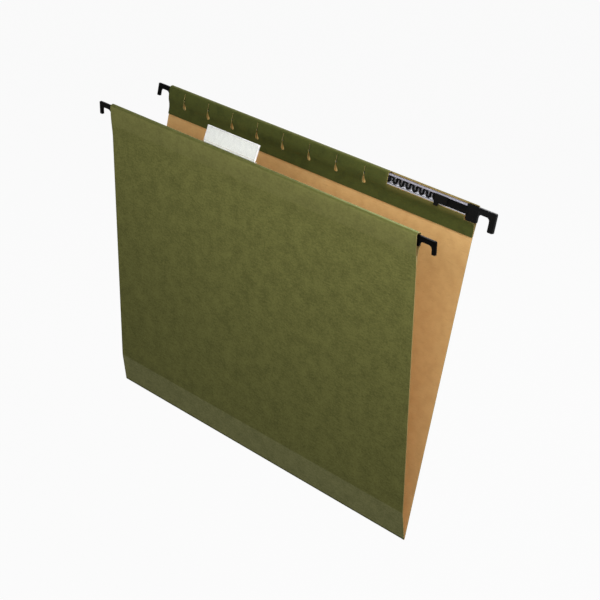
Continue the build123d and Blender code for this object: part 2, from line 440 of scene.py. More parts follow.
# %% [markdown]
# The index tab can be moved along a row of keyhole slots in the hem. They are punched, so here one
# punch is drawn and used for all of them. It starts as a circle. Its cap is cut off with a bisect, and
# the straight edge that is left is extruded up: narrower for the teardrop, then as the slit with its
# eye.

# %% Punch for the keyhole slots
SLIT_HALF = 0.3 * MM
SLIT_TOP = 2.3 * MM
EYE_DEPTH = 7.3 * MM
EYE_HALF = 0.8 * MM
BULB_DEPTH = 13.1 * MM
BULB_RADIUS = 1.6 * MM
BULB_TAPER = 4.3 * MM
BULB_CAP = 0.45 * MM
BULB_SIDES = 22
PUNCH_REACH = 6.0 * MM
PUNCH_BACK = 0.6 * MM


def widen_edge(factor):
    """Scale the selected edge along X about its own middle, which lies at X zero."""
    bpy.ops.transform.resize(value=(factor, 1, 1), center_override=(0, 0, 0))


def slot_punch(name):
    """Upright punch at X zero, with the hem's top at Z zero and its back face towards -Y."""
    punch = add_start(
        name,
        bpy.ops.mesh.primitive_circle_add,
        vertices=BULB_SIDES,
        radius=BULB_RADIUS,
        fill_type="NGON",
        location=(0, -PUNCH_BACK, -BULB_DEPTH),
        rotation=(pi / 2, 0, 0),
    )
    settle(punch)
    open_mesh(punch)
    cap_up = -BULB_DEPTH + BULB_CAP
    slice_mesh((0, 0, cap_up), ALONG_Z, clear_outer=True)
    cut_edges = pick(punch, "EDGE", lambda edge: all(abs(v.co.z - cap_up) < NEAR for v in edge.verts))
    cut_half = max(v.co.x for v in bmesh.from_edit_mesh(punch.data).verts if v.select)
    push(0, 0, BULB_TAPER - BULB_CAP)
    widen_edge(SLIT_HALF / cut_half)
    push(0, 0, BULB_DEPTH - BULB_TAPER - EYE_DEPTH - EYE_HALF)
    push(0, 0, EYE_HALF)
    widen_edge(EYE_HALF / SLIT_HALF)
    push(0, 0, EYE_HALF)
    widen_edge(SLIT_HALF / EYE_HALF)
    push(0, 0, EYE_DEPTH - EYE_HALF - SLIT_TOP)
    bpy.ops.mesh.select_all(action="SELECT")
    push(0, PUNCH_REACH, 0)
    face_outwards()
    close_mesh()
    print("punch:", cut_edges, "edge pulled up,", len(punch.data.polygons), "faces")
    return punch


# %% [markdown]
# Whatever belongs in a hem is made upright and then stood on it. The back hem faces the other way,
# which mirrors the mesh, so there its faces are turned over. The punch is arrayed along the hem at the
# slot pitch and cut out of the flap with a Boolean, and the walls of the cut take the finish of the cut
# edges.

# %% Keyhole slots
SLOT_PITCH = 26.3 * MM
SLOT_NUMBERS = {"front": (-5, 5), "back": (-5, 2)}


def stand_on_hem(piece, side):
    """Move a piece that was made upright, facing +Y, to a hem of the folder."""
    turn = Matrix.Identity(3)
    turn.col[0] = ALONG_X
    turn.col[1] = hem_inward[side]
    turn.col[2] = hem_up[side]
    mirrored = turn.determinant() < 0
    place = turn.to_4x4()
    place.translation = hem_point(side, 0, 0)
    piece.data.transform(place)
    if mirrored:
        piece.data.flip_normals()
    return piece


def combine(piece, other, operation):
    """Join a closed shape to a piece or cut it out, and throw the shape away."""
    apply_modifier(piece, "BOOLEAN", object=other, operation=operation, solver="EXACT")
    bpy.data.objects.remove(other)


def cut(board, cutter):
    """Cut a closed shape out of a board, with the finish of the cut edges on the new walls."""
    cutter.data.materials.clear()
    for material in board.data.materials:
        cutter.data.materials.append(material)
    for face in cutter.data.polygons:
        face.material_index = EDGE
    combine(board, cutter, "DIFFERENCE")


def punch_slots(board, side):
    """Punch the keyhole slots of a hem, which are numbered from its middle."""
    first, last = SLOT_NUMBERS[side]
    count = last - first + 1
    punch = slot_punch(board.name + "_punch")
    punch.location = (first * SLOT_PITCH, 0, panel_high.z)
    settle(punch)
    apply_modifier(
        punch,
        "ARRAY",
        count=count,
        use_relative_offset=False,
        use_constant_offset=True,
        constant_offset_displace=(SLOT_PITCH, 0, 0),
    )
    stand_on_hem(punch, side)
    cut(board, punch)
    print(board.name, "has", count, "slots")


for side, board in boards.items():
    punch_slots(board, side)

# %% [markdown]
# At the right end of the back hem the flap is cut away, so that the rail, the spring and the hook can
# be seen. The cutter is a block over the rail, and its last stretch is extruded down for the hook's
# shoulder.

# %% Window
WINDOW_START = 73.5 * MM
WINDOW_OVERRUN = 3.0 * MM
WINDOW_MARGIN = 0.4 * MM
WINDOW_TOP = 9.0 * MM
NOTCH_START = 141.05 * MM
NOTCH_UP = -7.0 * MM
window_low = rail_low.z - WINDOW_MARGIN
window_end = half_width + WINDOW_OVERRUN

window = add_block("window", (WINDOW_START, 0, window_low), (window_end, PUNCH_REACH, WINDOW_TOP))
open_mesh(window)
slice_mesh((NOTCH_START, 0, 0), ALONG_X)
pick(window, "FACE", face_at(DOWN, lambda middle: middle.x > NOTCH_START))
push(0, 0, NOTCH_UP - window_low)
close_mesh()
stand_on_hem(window, "back")
cut(back_board, window)
for board in boards.values():
    smooth(board)
    print(board.name, "finished:", triangles(board), "triangles")

# %% [markdown]
# The boards bend when the folder opens and closes, and their dye has to bend with them. So each point
# keeps its place in the finished shape as an attribute of the mesh, and the finishes of the boards read
# that.

# %% Places that the boards keep
KEPT_PLACE = "kept_place"


def keep_places(board):
    """Store where each point of a board is now."""
    kept = board.data.attributes.new(KEPT_PLACE, "FLOAT_VECTOR", "POINT")
    for point, place in zip(board.data.vertices, kept.data):
        place.vector = point.co
    print(board.name, "keeps", len(kept.data), "places")


for board in boards.values():
    keep_places(board)

# %% [markdown]
# Each rail is a rolled steel channel, open towards the inside of the folder, with a lip along the top
# of its mouth. A roll former bends flat strip, so the profile is drawn the same way: the edge of a
# plane is extruded round the outside, the corners get the bend radius, and Solidify adds the gauge
# inwards.

# %% Rail
RAIL_GAUGE = 0.5 * MM
RAIL_LIP = 1.1 * MM
RAIL_BEND = 0.7 * MM
RAIL_BEND_STEPS = 4
RAIL_COLUMNS = 8
STUD_HOLE = 1.4 * MM
DRILL_SIDES = 24
DRILL_DEPTH = 2 * RAIL_GAUGE + 1.0 * MM
HANDS = {"right": 1, "left": -1}
rail_half = rail_high.x
rail_reach = (rail_high.y - rail_low.y) / 2
anchor_low, anchor_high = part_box("front_right_spring_anchor")
stud_x = (anchor_low.x + anchor_high.x) / 2
stud_up = (rail_low.z + rail_high.z) / 2


def drill_for_stud(channel, hand):
    """Drill the hole in the rail's web that the stud of a spring anchor snaps into."""
    drill = add_start(
        "drill",
        bpy.ops.mesh.primitive_cylinder_add,
        vertices=DRILL_SIDES,
        radius=STUD_HOLE,
        depth=DRILL_DEPTH,
        location=(hand * stud_x, -rail_reach, stud_up),
        rotation=(pi / 2, 0, 0),
    )
    combine(channel, settle(drill), "DIFFERENCE")


def upright_rail(name):
    """Channel in an upright hem, with its mouth towards +Y."""
    channel = add_start(
        name,
        bpy.ops.mesh.primitive_grid_add,
        x_subdivisions=RAIL_COLUMNS,
        y_subdivisions=1,
        size=1,
        location=(0, rail_reach, rail_high.z - RAIL_LIP / 2),
        rotation=(pi / 2, 0, 0),
    )
    channel.scale = (2 * rail_half, RAIL_LIP, 1)
    settle(channel)
    open_mesh(channel)
    depth = 2 * rail_reach
    height = rail_high.z - rail_low.z
    corners = [(rail_reach, rail_high.z), (-rail_reach, rail_high.z), (-rail_reach, rail_low.z)]
    pick(channel, "EDGE", along_line(Vector((0, rail_reach, rail_high.z))))
    push(0, -depth, 0)
    push(0, 0, -height)
    push(0, depth, 0)
    for y, z in corners:
        soften(channel, Vector((0, y, z)), RAIL_BEND, RAIL_BEND_STEPS)
    show_outside(channel, Vector((0, -rail_reach, stud_up)), Vector((0, -1, 0)))
    apply_modifier(channel, "SOLIDIFY", thickness=RAIL_GAUGE, offset=-1, use_even_offset=True)
    for end in ("left", "right"):
        drill_for_stud(channel, HANDS[end])
    return smooth(channel)


rails = {"front": upright_rail("front_channel")}
rails["back"] = own_copy(rails["front"], "back_channel")
for side, channel in rails.items():
    stand_on_hem(channel, side)
    print(channel.name, triangles(channel), "triangles")

# %% [markdown]
# Inside the rail a hook has a stem, which fills the mouth, and a slider at its inner end, which is too
# tall to slip past the lip. Both start as one block: bisects mark off the slider, and its top is
# extruded up. The slider that shows in the window also has a raised pad with a foot, made in the same
# way.

# %% Stem and slider
SHOULDER_GAP = 0.2 * MM
STEM_ROOT = 1.0 * MM
SLIDER_LENGTH = 10.0 * MM
SLIDER_GAP = 0.3 * MM
PAD_FACE = 2.8 * MM
PAD_RISE = 0.65 * MM
FOOT_LENGTH = 3.5 * MM
FOOT_BACK = 2.35 * MM
FOOT_DROP = 1.4 * MM
hook_low, hook_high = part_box("front_right_hook")
shoulder_in = rail_half + SHOULDER_GAP
slider_in = hook_low.x
slider_end = slider_in + SLIDER_LENGTH
slider_half = rail_reach - RAIL_GAUGE - SLIDER_GAP
slider_high = rail_high.z - RAIL_GAUGE - SLIDER_GAP
stem_low = rail_low.z + RAIL_GAUGE + SLIDER_GAP
stem_high = rail_high.z - RAIL_LIP - SLIDER_GAP
foot_end = slider_in + FOOT_LENGTH


def upright_stem():
    """Stem that fills the rail's mouth, with the slider raised behind the lip at its inner end."""
    stem_end = shoulder_in + STEM_ROOT
    stem = add_block("stem", (slider_in, -slider_half, stem_low), (stem_end, rail_reach, stem_high))
    open_mesh(stem)
    slice_mesh((slider_end, 0, 0), ALONG_X)
    slice_mesh((0, slider_half, 0), ALONG_Y)
    pick(stem, "FACE", face_at(ALONG_Z, lambda middle: middle.x < slider_end and middle.y < slider_half))
    push(0, 0, slider_high - stem_high)
    close_mesh()
    return stem


def slider_pad():
    """Raised pad on the face of the slider that shows in the window, with a foot in front of the flap."""
    pad = add_block("pad", (slider_in, slider_half, stem_low), (slider_end, PAD_FACE, stem_high + PAD_RISE))
    open_mesh(pad)
    slice_mesh((foot_end, 0, 0), ALONG_X)
    slice_mesh((0, FOOT_BACK, 0), ALONG_Y)
    pick(pad, "FACE", face_at(DOWN, lambda middle: middle.x < foot_end and middle.y > FOOT_BACK))
    push(0, 0, rail_low.z - FOOT_DROP - stem_low)
    close_mesh()
    return pad


print("slider %.1f mm long, %.1f mm from the middle" % (SLIDER_LENGTH / MM, slider_in / MM))

# %% [markdown]
# Outside the rail a hook has a shoulder at the end of the hem, and a beam with a leg that grips the
# drawer rail. It grows from its shoulder by extruding faces: outwards the beam, down the leg. The inner
# corners get their large radii, the stem is joined on with a Boolean, and a Bevel breaks every sharp
# edge, so that the hook is one closed skin like the moulding.

# %% Hook
LEG_THROAT = 2.4 * MM
THROAT_STEPS = 6
CORNER_STEPS = 4
EDGE_BREAK = 0.28 * MM
BREAK_STEPS = 2
SHARP_ABOVE = radians(50)


def round_edge(piece, x, z, radius, steps):
    """Round the edge of a piece that runs along Y at a place."""
    spot = Vector((x, z))
    pick(
        piece,
        "EDGE",
        lambda edge: all((Vector((v.co.x, v.co.z)) - spot).length < NEAR for v in edge.verts),
    )
    bpy.ops.mesh.bevel(offset=radius, segments=steps, affect="EDGES")


def break_edges(piece, width):
    """Take the sharpness off every sharp edge, as on a moulding."""
    apply_modifier(
        piece,
        "BEVEL",
        width=width,
        segments=BREAK_STEPS,
        limit_method="ANGLE",
        angle_limit=SHARP_ABOVE,
    )


def upright_hook(
    name, blocks, shoulder_out, drop, throat, half, beam_up, leg_low, leg_out, leg_width, corner
):
    """Right-hand hook in an upright hem whose inside is towards +Y, with these blocks joined to it."""
    leg_in = leg_out - leg_width
    hook = add_block(name, (shoulder_in, -half, -drop), (shoulder_out, half, beam_up))
    open_mesh(hook)
    slice_mesh((0, 0, 0), ALONG_Z)
    pick(hook, "FACE", face_at(ALONG_X, lambda middle: middle.z > 0))
    push(leg_in - shoulder_out, 0, 0)
    push(leg_width, 0, 0)
    pick(hook, "FACE", face_at(DOWN, lambda middle: middle.x > leg_in))
    push(0, 0, leg_low)
    round_edge(hook, shoulder_out, 0, throat, THROAT_STEPS)
    round_edge(hook, leg_in, 0, LEG_THROAT, THROAT_STEPS)
    outer_corners = [(leg_out, beam_up), (leg_out, leg_low), (leg_in, leg_low), (shoulder_in, -drop)]
    if drop > throat + corner:
        outer_corners.append((shoulder_out, -drop))
    for x, z in outer_corners:
        round_edge(hook, x, z, corner, CORNER_STEPS)
    close_mesh()
    for block in blocks:
        combine(hook, block, "UNION")
    break_edges(hook, EDGE_BREAK)
    return smooth(hook)


# %% [markdown]
# The three hooks whose rails are covered come from one pattern, so that is modelled once and copied,
# each copy with its own mesh. The left ones are mirrored, which turns a mesh inside out, so their
# normals are made to look outwards again. The hook that shows in the window is larger and stouter, and
# has a pad on its slider and a deep shoulder that stands proud of the board, so it is made apart.

# %% Four hooks
HEM_ENDS = [(side, end) for side in ("front", "back") for end in ("right", "left")]
SHOWN_END = ("back", "right")
COVERED_ENDS = [hem_end for hem_end in HEM_ENDS if hem_end != SHOWN_END]
hook_end = hook_high.x
COVERED_HOOK = {
    "shoulder_out": half_width + 1.1 * MM,
    "drop": 3.8 * MM,
    "throat": 3.4 * MM,
    "half": 0.85 * MM,
    "beam_up": 3.6 * MM,
    "leg_low": -5.9 * MM,
    "leg_out": hook_end - 1.2 * MM,
    "leg_width": 2.9 * MM,
    "corner": 0.5 * MM,
}
SHOWN_HOOK = {
    "shoulder_out": half_width + 1.2 * MM,
    "drop": 6.6 * MM,
    "throat": 2.6 * MM,
    "half": 1.0 * MM,
    "beam_up": hook_high.z,
    "leg_low": -9.2 * MM,
    "leg_out": hook_end,
    "leg_width": 4.5 * MM,
    "corner": 0.9 * MM,
}


def mirror_to_left(piece):
    """Mirror a right-hand piece to the left end of a hem."""
    piece.scale.x = -1
    settle(piece)
    open_mesh(piece)
    face_outwards()
    close_mesh()
    return piece


def copies_for_hems(start, kind, hem_ends):
    """One copy of a right-hand upright piece for each of these ends of the hems."""
    copies = {}
    for side, end in hem_ends:
        copy = own_copy(start, f"{side}_{end}_{kind}")
        if end == "left":
            mirror_to_left(copy)
        copies[side, end] = stand_on_hem(copy, side)
    bpy.data.objects.remove(start)
    return copies


covered_hook = upright_hook("hook_pattern", [upright_stem()], **COVERED_HOOK)
hooks = copies_for_hems(covered_hook, "hanger", COVERED_ENDS)
shown_hook = upright_hook("back_right_hanger", [upright_stem(), slider_pad()], **SHOWN_HOOK)
hooks[SHOWN_END] = stand_on_hem(shown_hook, "back")
for hook in hooks.values():
    print(hook.name, triangles(hook), "triangles")

# %% [markdown]
# A serpentine spring pulls each hook back into its rail. It is one unbroken wire, so it is drawn as the
# wire runs: a round face is extruded along each straight and spun round the middle of each turn.

# %% Springs
SPRING_WAVES = 8
SPRING_RUNS = 2 * SPRING_WAVES
SPRING_REACH = 2.05 * MM
WIRE_RADIUS = 0.75 * MM
WIRE_SIDES = 14
WIRE_SMOOTH_BELOW = radians(50)
TURN_RADIUS = 1.475 * MM
END_RUN = 1.6 * MM
QUARTER_TURN_STEPS = 5
HALF_TURN_STEPS = 2 * QUARTER_TURN_STEPS
anchor_out = anchor_high.x


def upright_spring(name):
    """Right-hand spring in an upright hem, from its anchor to the slider."""
    low = stud_up - SPRING_REACH
    straight_half = SPRING_REACH - TURN_RADIUS
    spring = add_start(
        name,
        bpy.ops.mesh.primitive_circle_add,
        vertices=WIRE_SIDES,
        radius=WIRE_RADIUS,
        fill_type="NGON",
        location=(anchor_out, 0, low),
        rotation=(0, pi / 2, 0),
    )
    settle(spring)
    open_mesh(spring)
    bpy.ops.mesh.select_all(action="SELECT")
    push(END_RUN, 0, 0)
    x = anchor_out + END_RUN
    turn_round((x, 0, low + TURN_RADIUS), ALONG_Y, -pi / 2, QUARTER_TURN_STEPS)
    x += TURN_RADIUS
    for run in range(SPRING_RUNS):
        way = 1 if run % 2 == 0 else -1
        push(0, 0, way * 2 * straight_half)
        if run < SPRING_RUNS - 1:
            turn_middle = (x + TURN_RADIUS, 0, stud_up + way * straight_half)
            turn_round(turn_middle, ALONG_Y, way * pi, HALF_TURN_STEPS)
            x += 2 * TURN_RADIUS
    turn_middle = (x + TURN_RADIUS, 0, stud_up - straight_half)
    turn_round(turn_middle, ALONG_Y, -pi / 2, QUARTER_TURN_STEPS)
    push(slider_in - x - TURN_RADIUS, 0, 0)
    weld()
    face_outwards()
    close_mesh()
    return smooth(spring, WIRE_SMOOTH_BELOW)


springs = copies_for_hems(upright_spring("spring_pattern"), "wave_spring", HEM_ENDS)
for spring in springs.values():
    print(spring.name, triangles(spring), "triangles")

# %% [markdown]
# The index tab is moulded in clear plastic: a flat sleeve for the label, a thin bend, and a foot whose
# headed pins sit in two slots of the hem. Sleeve and label are made upright at the origin and then
# leaned with the bend. The sleeve's rim, past the label, is split off with bisects, because there the
# plastic catches the light.

# %% Sleeve of the index tab
TAB_LEAN = radians(24)
TAB_NECK = 0.2 * MM
SLEEVE_HALF = 25.7 * MM
SLEEVE_HEIGHT = 11.3 * MM
SLEEVE_DEPTH = 1.2 * MM
SLEEVE_WALL = 0.35 * MM
SLEEVE_ROUND = 0.4 * MM
SLEEVE_ROUND_STEPS = 4
SLEEVE_RIM = 0.5 * MM
tab_bend_point = Vector(joints["tab_tilt"]["pos_m"])
sleeve_top = TAB_NECK + SLEEVE_HEIGHT
rim_start = SLEEVE_HALF - SLEEVE_RIM
rim_low = sleeve_top - SLEEVE_RIM


def lean_with_tab(piece):
    """Move a piece that was made upright at the bend to where the tab leans."""
    piece.rotation_euler = (-TAB_LEAN, 0, 0)
    piece.location = tab_bend_point
    return settle(piece)


def past_label(face):
    """Whether a face of the sleeve lies beyond the label's edge."""
    return abs(face.center.x) > rim_start or face.center.z > rim_low


def clear_sleeve(name):
    """Flat tube, open at both ends, with round long edges."""
    low = (-SLEEVE_HALF, -SLEEVE_DEPTH / 2, TAB_NECK)
    sleeve = add_block(name, low, (SLEEVE_HALF, SLEEVE_DEPTH / 2, sleeve_top))
    open_mesh(sleeve)
    pick(sleeve, "FACE", lambda face: abs(face.normal.x) > FACING)
    bpy.ops.mesh.delete(type="FACE")
    pick(sleeve, "EDGE", lambda edge: abs(edge.verts[0].co.x - edge.verts[1].co.x) > SLEEVE_HALF)
    bpy.ops.mesh.bevel(offset=SLEEVE_ROUND, segments=SLEEVE_ROUND_STEPS, affect="EDGES")
    slice_mesh((-rim_start, 0, 0), ALONG_X)
    slice_mesh((rim_start, 0, 0), ALONG_X)
    slice_mesh((0, 0, rim_low), ALONG_Z)
    close_mesh()
    apply_modifier(sleeve, "SOLIDIFY", thickness=SLEEVE_WALL, offset=-1, use_even_offset=True)
    for finish in ("clear", "rim"):
        sleeve.data.materials.append(bpy.data.materials.new(name + "_" + finish))
    for face in sleeve.data.polygons:
        face.material_index = 1 if past_label(face) else 0
    return smooth(sleeve)


tab_sleeve = lean_with_tab(clear_sleeve("tab_sleeve"))
print("sleeve:", triangles(tab_sleeve), "triangles")

# %% [markdown]
# The bend is a strip of the same plastic. It is extruded up from the foot, spun through the lean and
# extruded into the sleeve.

# %% Bend of the tab
BEND_GAUGE = 0.44 * MM
BEND_RADIUS = 1.2 * MM
BEND_ROOT = 1.6 * MM
BEND_STEPS = 6
BEND_ROWS = 2
BEND_COLUMNS = 12
bend_tangent = BEND_RADIUS * tan(TAB_LEAN / 2)
lean_up = Vector((0, sin(TAB_LEAN), cos(TAB_LEAN)))
bend_low = tab_bend_point - Vector((0, 0, BEND_ROOT))
bend_start = tab_bend_point - Vector((0, 0, bend_tangent))
bend_end = tab_bend_point + bend_tangent * lean_up
bend_high = tab_bend_point + (TAB_NECK + SLEEVE_WALL / 2) * lean_up

tab_bend = start_sheet("tab_bend", bend_low, bend_start, SLEEVE_HALF, BEND_COLUMNS)
turn_round(bend_start + Vector((0, BEND_RADIUS, 0)), ALONG_X, -TAB_LEAN, BEND_STEPS)
extend_sheet(bend_end, bend_high, BEND_ROWS)
show_outside(tab_bend, bend_low, Vector((0, -1, 0)))
apply_modifier(tab_bend, "SOLIDIFY", thickness=BEND_GAUGE, offset=0, use_even_offset=True)
smooth(tab_bend)
print("bend:", triangles(tab_bend), "triangles")

# %% [markdown]
# The foot is a plate with two headed pins. Pins and heads are blocks joined to the plate with a
# Boolean, so the mesh stays one closed skin, and a Bevel takes the sharpness off every edge, as on a
# moulding.

# %% Foot of the tab
TAB_PLATE = 0.5 * MM
PIN_SLOTS = (-2, 0)
PIN_WIDTH = 0.5 * MM
PIN_HEIGHT = 1.2 * MM
HEAD_WIDTH = 1.8 * MM
HEAD_DEPTH = 0.5 * MM
PLATE_CORNER = 1.5 * MM
PLATE_CORNER_STEPS = 6
PLATE_BREAK = 0.1 * MM
foot_low, foot_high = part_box("index_tab_foot")
pin_up = rail_low.z - SLIDER_GAP - PIN_HEIGHT / 2
plate_front = foot_high.y - TAB_PLATE


def tab_foot_plate(name):
    """Plate behind the hem with its pins, at its place."""
    foot = add_block(name, (foot_low.x, plate_front, foot_low.z), foot_high)
    open_mesh(foot)
    for x in (foot_low.x, foot_high.x):
        round_edge(foot, x, foot_low.z, PLATE_CORNER, PLATE_CORNER_STEPS)
    close_mesh()
    pin_and_head = ((PIN_WIDTH, plate_front + PLATE_BREAK), (HEAD_WIDTH, foot_low.y + HEAD_DEPTH))
    for slot in PIN_SLOTS:
        for width, back in pin_and_head:
            low = (slot * SLOT_PITCH - width / 2, foot_low.y, pin_up - PIN_HEIGHT / 2)
            high = (slot * SLOT_PITCH + width / 2, back, pin_up + PIN_HEIGHT / 2)
            combine(foot, add_block("pin", low, high), "UNION")
    break_edges(foot, PLATE_BREAK)
    return smooth(foot)


tab_foot = tab_foot_plate("tab_foot")
print("foot:", triangles(tab_foot), "triangles")

# %% [markdown]
# The label is a slip of white card. It starts as a block, its corners are rounded, and a fine Bevel
# gives the card's soft cut edge.

# %% Label
LABEL_HALF = 25.1 * MM
LABEL_HEIGHT = 10.3 * MM
LABEL_CARD = 0.25 * MM
LABEL_CORNER = 0.6 * MM
LABEL_GAP = 0.05 * MM
LABEL_BREAK = LABEL_CARD / 5
label_middle = TAB_NECK + SLEEVE_WALL + LABEL_GAP + LABEL_HEIGHT / 2


def label_card(name):
    """Card that fills the sleeve's slot, upright at the bend."""
    low = (-LABEL_HALF, -LABEL_CARD / 2, label_middle - LABEL_HEIGHT / 2)
    high = (LABEL_HALF, LABEL_CARD / 2, label_middle + LABEL_HEIGHT / 2)
    label = add_block(name, low, high)
    open_mesh(label)
    for x in (low[0], high[0]):
        for z in (low[2], high[2]):
            round_edge(label, x, z, LABEL_CORNER, CORNER_STEPS)
    close_mesh()
    apply_modifier(label, "BEVEL", width=LABEL_BREAK, segments=1, limit_method="ANGLE")
    return smooth(label)


tab_label = lean_with_tab(label_card("tab_label"))
print("label:", triangles(tab_label), "triangles")

# %% [markdown]
# Finishes are node trees. To keep them readable, one class wraps a socket so that sums and products of
# values can be written as plain arithmetic, and a second class holds a tree and has one method that
# adds any node. Colours never go through arithmetic, because that would turn them grey: they are mixed
# with a Mix node.

# %% Shader arithmetic
class Value:
    """A socket whose number varies over a surface, with the operators of arithmetic."""

    def __init__(self, wiring, socket):
        self.wiring = wiring
        self.socket = socket

    def __add__(self, other):
        return self.wiring.math("ADD", self, other)

    def __radd__(self, other):
        return self.wiring.math("ADD", other, self)

    def __sub__(self, other):
        return self.wiring.math("SUBTRACT", self, other)

    def __rsub__(self, other):
        return self.wiring.math("SUBTRACT", other, self)

    def __mul__(self, other):
        return self.wiring.math("MULTIPLY", self, other)

    def __rmul__(self, other):
        return self.wiring.math("MULTIPLY", other, self)

    def __abs__(self):
        return self.wiring.math("ABSOLUTE", self)


class Wiring:
    """A node tree that is being wired."""

    def __init__(self, tree):
        self.tree = tree
        tree.nodes.clear()

    def node(self, kind, settings=None, sockets=None, output=0):
        """Add a node, set it, feed its sockets and give back one of its outputs."""
        made = self.tree.nodes.new(kind)
        for setting, value in (settings or {}).items():
            setattr(made, setting, value)
        for socket, value in (sockets or {}).items():
            self.feed(made.inputs[socket], value)
        return Value(self, made.outputs[output])

    def feed(self, socket, value):
        """Link a value to a socket, or set a plain one on it."""
        if isinstance(value, Value):
            self.tree.links.new(value.socket, socket)
        else:
            socket.default_value = value

    def math(self, operation, first, second=0.0):
        """Add a Math node."""
        return self.node("ShaderNodeMath", {"operation": operation}, {0: first, 1: second})

    def show(self, kind, shader):
        """Send a shader to the tree's output."""
        output = self.tree.nodes.new(kind)
        self.feed(output.inputs["Surface"], shader)


def srgb(red, green, blue):
    """Colour of a shader from the numbers that a picture editor shows."""
    shares = [channel / 255 for channel in (red, green, blue)]
    linear = [share / 12.92 if share < 0.04045 else ((share + 0.055) / 1.055) ** 2.4 for share in shares]
    return (*linear, 1.0)


print("middle grey, 128 in a picture editor, is %.3f in a shader" % srgb(128, 128, 128)[0])

# %% [markdown]
# A finish starts from the coordinates of the object itself, in metres, so a size of half a millimetre
# in the pattern is half a millimetre on the piece. The boards read the places that they keep instead. A
# Mapping node turns what belongs to a leaning hem upright, so that the front and the back can share one
# recipe.

# %% Tools for finishes
MIX_SHARE = 0
MIX_FIRST_COLOUR = 6
MIX_SECOND_COLOUR = 7
MIX_COLOUR = 2


class Finish(Wiring):
    """One procedural material round a Principled shader."""

    def __init__(self, name):
        self.material = bpy.data.materials.get(name) or bpy.data.materials.new(name)
        self.material.use_nodes = True
        super().__init__(self.material.node_tree)
        self.shader = self.tree.nodes.new("ShaderNodeBsdfPrincipled")
        self.show("ShaderNodeOutputMaterial", Value(self, self.shader.outputs["BSDF"]))
        self.spot = self.node("ShaderNodeTexCoord", output="Object")

    def follow_board(self):
        """Read the places that a board keeps, which bend with it."""
        self.spot = self.node("ShaderNodeAttribute", {"attribute_name": KEPT_PLACE}, output="Vector")

    def stand_upright(self, side):
        """Read the coordinates in the upright frame of one hem."""
        turn = (-back_lean, 0, 0) if side == "back" else (0, 0, 0)
        self.spot = self.node(
            "ShaderNodeMapping",
            {"vector_type": "TEXTURE"},
            {"Vector": self.spot, "Location": hem_point(side, 0, 0), "Rotation": turn},
        )

    def axes(self):
        """The three coordinates, each by itself."""
        split = self.tree.nodes.new("ShaderNodeSeparateXYZ")
        self.feed(split.inputs[0], self.spot)
        return [Value(self, output) for output in split.outputs]

    def cloud(self, size, detail=3.0, stretch=(1, 1, 1), turn=0.0):
        """Soft noise about 0.5 with patches of a size in metres, longer along an axis that is stretched."""
        scale = [1 / (size * share) for share in stretch]
        spot = self.node(
            "ShaderNodeMapping",
            {"vector_type": "POINT"},
            {"Vector": self.spot, "Rotation": (0, turn, 0), "Scale": scale},
        )
        return self.node("ShaderNodeTexNoise", None, {"Vector": spot, "Scale": 1.0, "Detail": detail})

    def ramp(self, value, start, end):
        """Smooth step from 0 to 1 as a value goes from start to end."""
        return self.node(
            "ShaderNodeMapRange",
            {"interpolation_type": "SMOOTHSTEP", "clamp": True},
            {"Value": value, "From Min": start, "From Max": end},
        )

    def blend(self, share, first, second):
        """Mix two colours."""
        return self.node(
            "ShaderNodeMix",
            {"data_type": "RGBA"},
            {MIX_SHARE: share, MIX_FIRST_COLOUR: first, MIX_SECOND_COLOUR: second},
            MIX_COLOUR,
        )

    def surface(self, height, depth, **sockets):
        """Feed the shader's sockets, with a bump of a depth in metres from a height between 0 and 1."""
        for name, value in sockets.items():
            self.feed(self.shader.inputs[name.replace("_", " ")], value)
        normal = self.node("ShaderNodeBump", None, {"Height": height, "Distance": depth})
        self.feed(self.shader.inputs["Normal"], normal)
        return self.material


def board_finish(name, side):
    """Start a finish of the board, which bends with it and reads the upright frame of its hem."""
    finish = Finish(name)
    finish.follow_board()
    finish.stand_upright(side)
    return finish


# %% [markdown]
# The outside of the board is olive, dyed in the pulp. Seen close, it is never one colour: cloudy
# formation, fibres that lie mostly along the sheet, and a paler rub at the ends and on the crown. The
# flap, which is folded in, is a deeper green. Light and shade are painted in as well: painted light on
# the band of the hem, on the strip below the score, on the flap just under the window and along the
# crest of the front, and painted shade on the crown and along the bottom fold. Masks along the sheet
# mix these colours.

# %% Olive board
OLIVE = srgb(116, 116, 63)
OLIVE_DARK = srgb(85, 86, 43)
OLIVE_DEEP = srgb(71, 76, 33)
OLIVE_DEEP_DARK = srgb(55, 61, 25)
# Paler olive: painted light on the band of the hem, and a real rub at the ends and on the crown.
OLIVE_RUBBED_AND_LIT = srgb(122, 120, 72)
# Paler olive for the strip below the score: painted light, as the strip meets the light at another angle.
OLIVE_STRIP_LIT = srgb(146, 145, 97)
OLIVE_STRIP_LIT_DARK = srgb(112, 113, 71)
# Painted shade along the bottom fold.
OLIVE_FOLD_SHADE = srgb(58, 60, 28)
# Painted light: a paler olive-brown on the flap just under the window.
OLIVE_LIT_UNDER_WINDOW = srgb(114, 105, 56)
# Painted shade on the crown, against the light that it catches.
OLIVE_CROWN_SHADE = srgb(64, 68, 28)
# Painted highlight along the crest of the front.
OLIVE_CREST_HIGHLIGHT = srgb(150, 162, 112)
FIBRE_LENGTH = (7, 1, 1)
BOARD_GLOSS = 0.12


